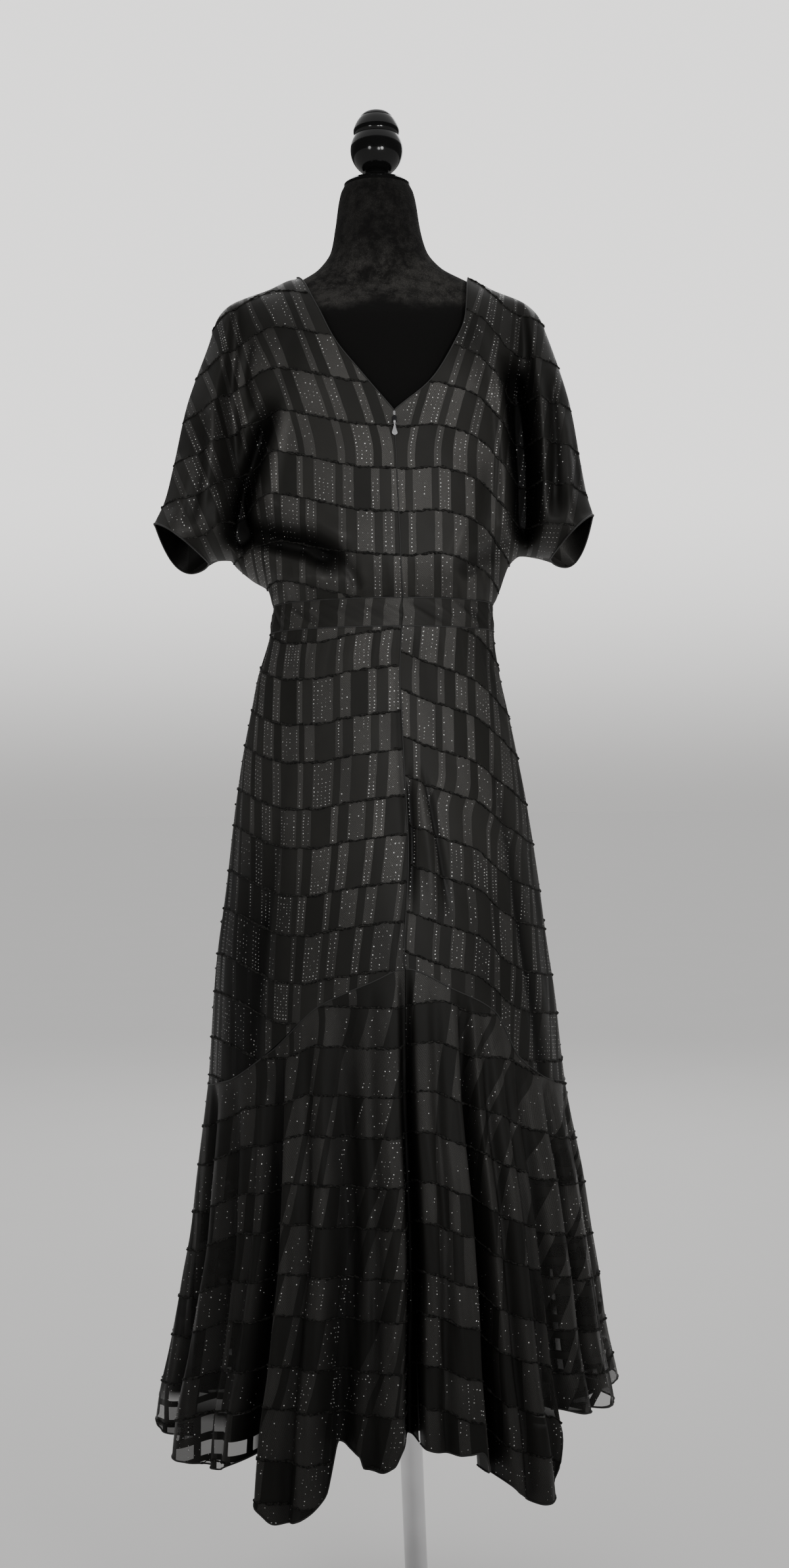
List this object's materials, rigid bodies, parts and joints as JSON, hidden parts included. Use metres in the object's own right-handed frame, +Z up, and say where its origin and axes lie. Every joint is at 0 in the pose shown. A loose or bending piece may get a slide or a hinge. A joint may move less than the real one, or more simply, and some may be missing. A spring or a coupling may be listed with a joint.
{
  "type": "maxi dress on dress form",
  "caption": "Long dress with short wing sleeves, V neckline, waistband and fluted flounce, worn by a limbless dress form with a turned finial on a slim pole and round base.",
  "frame": {"origin": "middle of the flat underside of the base plate, on the floor", "axes": "+Z up; -Y is the back of the dress with its zip, the side that the picture shows; -X is the left as seen by somebody who faces that side"},
  "size_m": [0.5342, 0.4819, 1.829],
  "materials": {
    "dress_cloth": "black burnout cloth, dull and slightly shiny by turns",
    "lining_cloth": "black smooth lining",
    "velvet": "black velvet over padding",
    "gloss_black": "black gloss lacquer",
    "zip_black": "gloss black",
    "bright_wire": "bright",
    "bright_tube": "bright",
    "base_enamel": "satin black"
  },
  "bodies": {
    "dress_on_form": {"form_torso": "velvet", "neck_cap": "gloss_black", "finial": "gloss_black", "torso_collar": "bright_tube", "pole": "bright_tube", "base_socket": "bright_tube", "base_plate": "base_enamel", "bodice_back_left": "dress_cloth", "bodice_back_right": "dress_cloth", "bodice_front": "dress_cloth", "waistband_back_left": "dress_cloth", "waistband_back_right": "dress_cloth", "waistband_front": "dress_cloth", "skirt_back_left": "dress_cloth", "skirt_back_right": "dress_cloth", "skirt_front": "dress_cloth", "flounce_back_left": "dress_cloth", "flounce_back_right": "dress_cloth", "flounce_front": "dress_cloth", "lining_back": "lining_cloth", "lining_front": "lining_cloth", "zip_hook": "bright_wire", "zip_slider": "zip_black"},
    "pull": {"zip_pull": "zip_black"}
  },
  "joints": [
    {"name": "pull_hinge", "type": "hinge", "parent": "dress_on_form", "child": "pull", "pos_m": [-0.01113, -0.12044, 1.4364], "axis": [-1, 0, 0], "range_deg": [0, 150]}
  ]
}
